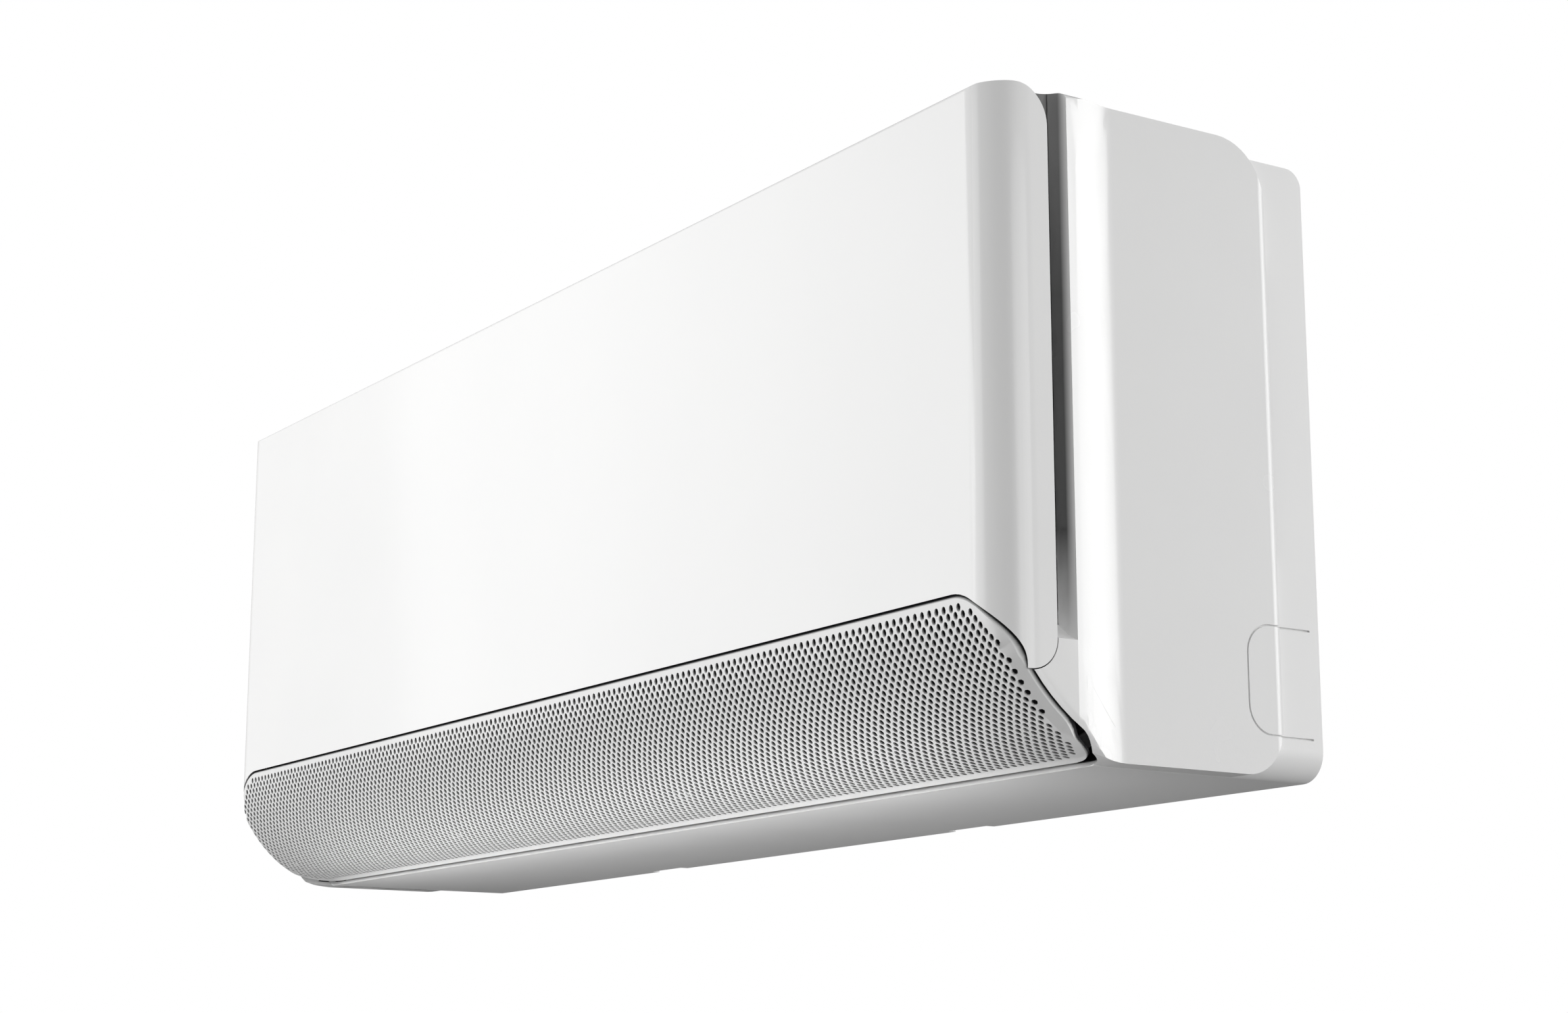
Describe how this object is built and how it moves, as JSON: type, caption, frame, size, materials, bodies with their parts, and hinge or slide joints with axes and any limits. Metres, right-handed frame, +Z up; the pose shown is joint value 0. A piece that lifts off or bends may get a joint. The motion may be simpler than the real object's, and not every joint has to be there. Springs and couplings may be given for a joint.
{
  "type": "mini split indoor unit",
  "caption": "Wall-mounted air-conditioner indoor unit with a hinged front panel, a perforated curved louver, a cross-flow fan and swinging air vanes.",
  "frame": {"origin": "on the wall plane, at the middle of the wall plate's back face", "axes": "+X to the right as seen from the room, +Y into the wall, +Z up"},
  "size_m": [0.836, 0.1904, 0.298],
  "materials": {
    "panel": "semi-gloss white moulding",
    "shell": "semi-gloss white moulding",
    "shell_rear": "satin white moulding",
    "inner_white": "satin white moulding",
    "vane_plastic": "satin dark grey moulding",
    "fan_plastic": "satin dark grey moulding",
    "dark_plastic": "matte black moulding",
    "filter": "matte grey frame with a fine mesh",
    "motor_case": "moulded resin drum",
    "display": "smoked window",
    "board": "green circuit board",
    "fins": "pressed fin stock",
    "zinc_steel": "zinc-coated sheet",
    "screw_steel": "zinc plated",
    "copper": "bright copper tube",
    "brass": "machined brass",
    "bearing": "sintered bronze",
    "rubber": "matte black rubber"
  },
  "bodies": {
    "unit": {"wall_plate": "zinc_steel", "rear_chassis": "shell_rear", "casing": "shell", "outlet_frame": "dark_plastic", "louver_motor": "dark_plastic", "frame_screws": "screw_steel", "drain_pan": "inner_white", "fan_motor": "motor_case", "motor_clamp": "inner_white", "fan_bearing": "bearing", "bearing_seat": "rubber", "front_coil": "fins", "upper_coil": "fins", "rear_coil": "fins", "coil_end_plate_left": "zinc_steel", "coil_end_plate_right": "zinc_steel", "coil_tubes": "copper", "gas_pipe": "copper", "liquid_pipe": "copper", "gas_union": "brass", "liquid_union": "brass", "pipe_clip": "dark_plastic", "control_box": "inner_white", "control_cover": "zinc_steel", "circuit_board": "board", "terminal_block": "dark_plastic", "display_board": "display", "room_sensor": "dark_plastic", "vane_motor_left": "dark_plastic", "vane_motor_right": "dark_plastic"},
    "front_panel": {"front_panel": "panel"},
    "louver": {"louver": "panel"},
    "crossflow_fan": {"crossflow_fan": "fan_plastic"},
    "filter_left": {"filter_left": "filter"},
    "filter_right": {"filter_right": "filter"},
    "emergency_button": {"emergency_button": "inner_white"},
    "link_bar_left": {"link_bar_left": "vane_plastic"},
    "link_bar_right": {"link_bar_right": "vane_plastic"},
    "vane_crank_left": {"vane_crank_left": "vane_plastic"},
    "vane_crank_right": {"vane_crank_right": "vane_plastic"},
    "vane_1": {"vane_1": "vane_plastic"},
    "vane_2": {"vane_2": "vane_plastic"},
    "vane_3": {"vane_3": "vane_plastic"},
    "vane_4": {"vane_4": "vane_plastic"},
    "vane_5": {"vane_5": "vane_plastic"},
    "vane_6": {"vane_6": "vane_plastic"},
    "vane_7": {"vane_7": "vane_plastic"},
    "vane_8": {"vane_8": "vane_plastic"},
    "vane_9": {"vane_9": "vane_plastic"},
    "vane_10": {"vane_10": "vane_plastic"}
  },
  "joints": [
    {"name": "panel_hinge", "type": "hinge", "parent": "unit", "child": "front_panel", "pos_m": [0, -0.178, 0.14], "axis": [1, 0, 0], "range_deg": [-60, 0]},
    {"name": "louver_hinge", "type": "hinge", "parent": "unit", "child": "louver", "pos_m": [0, -0.15172, -0.12913], "axis": [1, 0, 0], "range_deg": [0, 55]},
    {"name": "fan_spin", "type": "hinge", "parent": "unit", "child": "crossflow_fan", "pos_m": [0, -0.084, -0.01803], "axis": [1, 0, 0], "continuous": true},
    {"name": "filter_left_slide", "type": "slide", "parent": "unit", "child": "filter_left", "axis": [0, 0, 1], "range_m": [0, 0.06]},
    {"name": "filter_right_slide", "type": "slide", "parent": "unit", "child": "filter_right", "axis": [0, 0, 1], "range_m": [0, 0.06]},
    {"name": "emergency_push", "type": "slide", "parent": "unit", "child": "emergency_button", "axis": [0, 1, 0], "range_m": [0, 0.0015], "stiffness_N_per_m": 400},
    {"name": "vane_1_swing", "type": "hinge", "parent": "unit", "child": "vane_1", "pos_m": [-0.3195, -0.089, -0.10898], "axis": [0, -0.7071, 0.7071], "range_deg": [-32, 32]},
    {"name": "vane_2_swing", "type": "hinge", "parent": "unit", "child": "vane_2", "pos_m": [-0.2545, -0.089, -0.10898], "axis": [0, -0.7071, 0.7071], "range_deg": [-32, 32]},
    {"name": "vane_3_swing", "type": "hinge", "parent": "unit", "child": "vane_3", "pos_m": [-0.1895, -0.089, -0.10898], "axis": [0, -0.7071, 0.7071], "range_deg": [-32, 32]},
    {"name": "vane_4_swing", "type": "hinge", "parent": "unit", "child": "vane_4", "pos_m": [-0.1245, -0.089, -0.10898], "axis": [0, -0.7071, 0.7071], "range_deg": [-32, 32]},
    {"name": "vane_5_swing", "type": "hinge", "parent": "unit", "child": "vane_5", "pos_m": [-0.0595, -0.089, -0.10898], "axis": [0, -0.7071, 0.7071], "range_deg": [-32, 32]},
    {"name": "vane_6_swing", "type": "hinge", "parent": "unit", "child": "vane_6", "pos_m": [0.0055, -0.089, -0.10898], "axis": [0, -0.7071, 0.7071], "range_deg": [-32, 32]},
    {"name": "vane_7_swing", "type": "hinge", "parent": "unit", "child": "vane_7", "pos_m": [0.0705, -0.089, -0.10898], "axis": [0, -0.7071, 0.7071], "range_deg": [-32, 32]},
    {"name": "vane_8_swing", "type": "hinge", "parent": "unit", "child": "vane_8", "pos_m": [0.1355, -0.089, -0.10898], "axis": [0, -0.7071, 0.7071], "range_deg": [-32, 32]},
    {"name": "vane_9_swing", "type": "hinge", "parent": "unit", "child": "vane_9", "pos_m": [0.2005, -0.089, -0.10898], "axis": [0, -0.7071, 0.7071], "range_deg": [-32, 32]},
    {"name": "vane_10_swing", "type": "hinge", "parent": "unit", "child": "vane_10", "pos_m": [0.2655, -0.089, -0.10898], "axis": [0, -0.7071, 0.7071], "range_deg": [-32, 32]},
    {"name": "vane_crank_left_turn", "type": "hinge", "parent": "unit", "child": "vane_crank_left", "pos_m": [-0.157, -0.089, -0.10898], "axis": [0, -0.7071, 0.7071], "range_deg": [-32, 32]},
    {"name": "link_bar_left_slide", "type": "slide", "parent": "unit", "child": "link_bar_left", "axis": [1, 0, 0], "range_m": [-0.00785, 0.00785]},
    {"name": "vane_crank_right_turn", "type": "hinge", "parent": "unit", "child": "vane_crank_right", "pos_m": [0.168, -0.089, -0.10898], "axis": [0, -0.7071, 0.7071], "range_deg": [-32, 32]},
    {"name": "link_bar_right_slide", "type": "slide", "parent": "unit", "child": "link_bar_right", "axis": [1, 0, 0], "range_m": [-0.00785, 0.00785]}
  ],
  "couplings": [
    {"joint": "vane_1_swing", "follows": "link_bar_left_slide", "rad_per_m": -66.667},
    {"joint": "vane_2_swing", "follows": "link_bar_left_slide", "rad_per_m": -66.667},
    {"joint": "vane_3_swing", "follows": "link_bar_left_slide", "rad_per_m": -66.667},
    {"joint": "vane_4_swing", "follows": "link_bar_left_slide", "rad_per_m": -66.667},
    {"joint": "vane_5_swing", "follows": "link_bar_left_slide", "rad_per_m": -66.667},
    {"joint": "vane_6_swing", "follows": "link_bar_right_slide", "rad_per_m": -66.667},
    {"joint": "vane_7_swing", "follows": "link_bar_right_slide", "rad_per_m": -66.667},
    {"joint": "vane_8_swing", "follows": "link_bar_right_slide", "rad_per_m": -66.667},
    {"joint": "vane_9_swing", "follows": "link_bar_right_slide", "rad_per_m": -66.667},
    {"joint": "vane_10_swing", "follows": "link_bar_right_slide", "rad_per_m": -66.667},
    {"joint": "vane_crank_left_turn", "follows": "link_bar_left_slide", "rad_per_m": -66.667},
    {"joint": "vane_crank_right_turn", "follows": "link_bar_right_slide", "rad_per_m": -66.667}
  ]
}
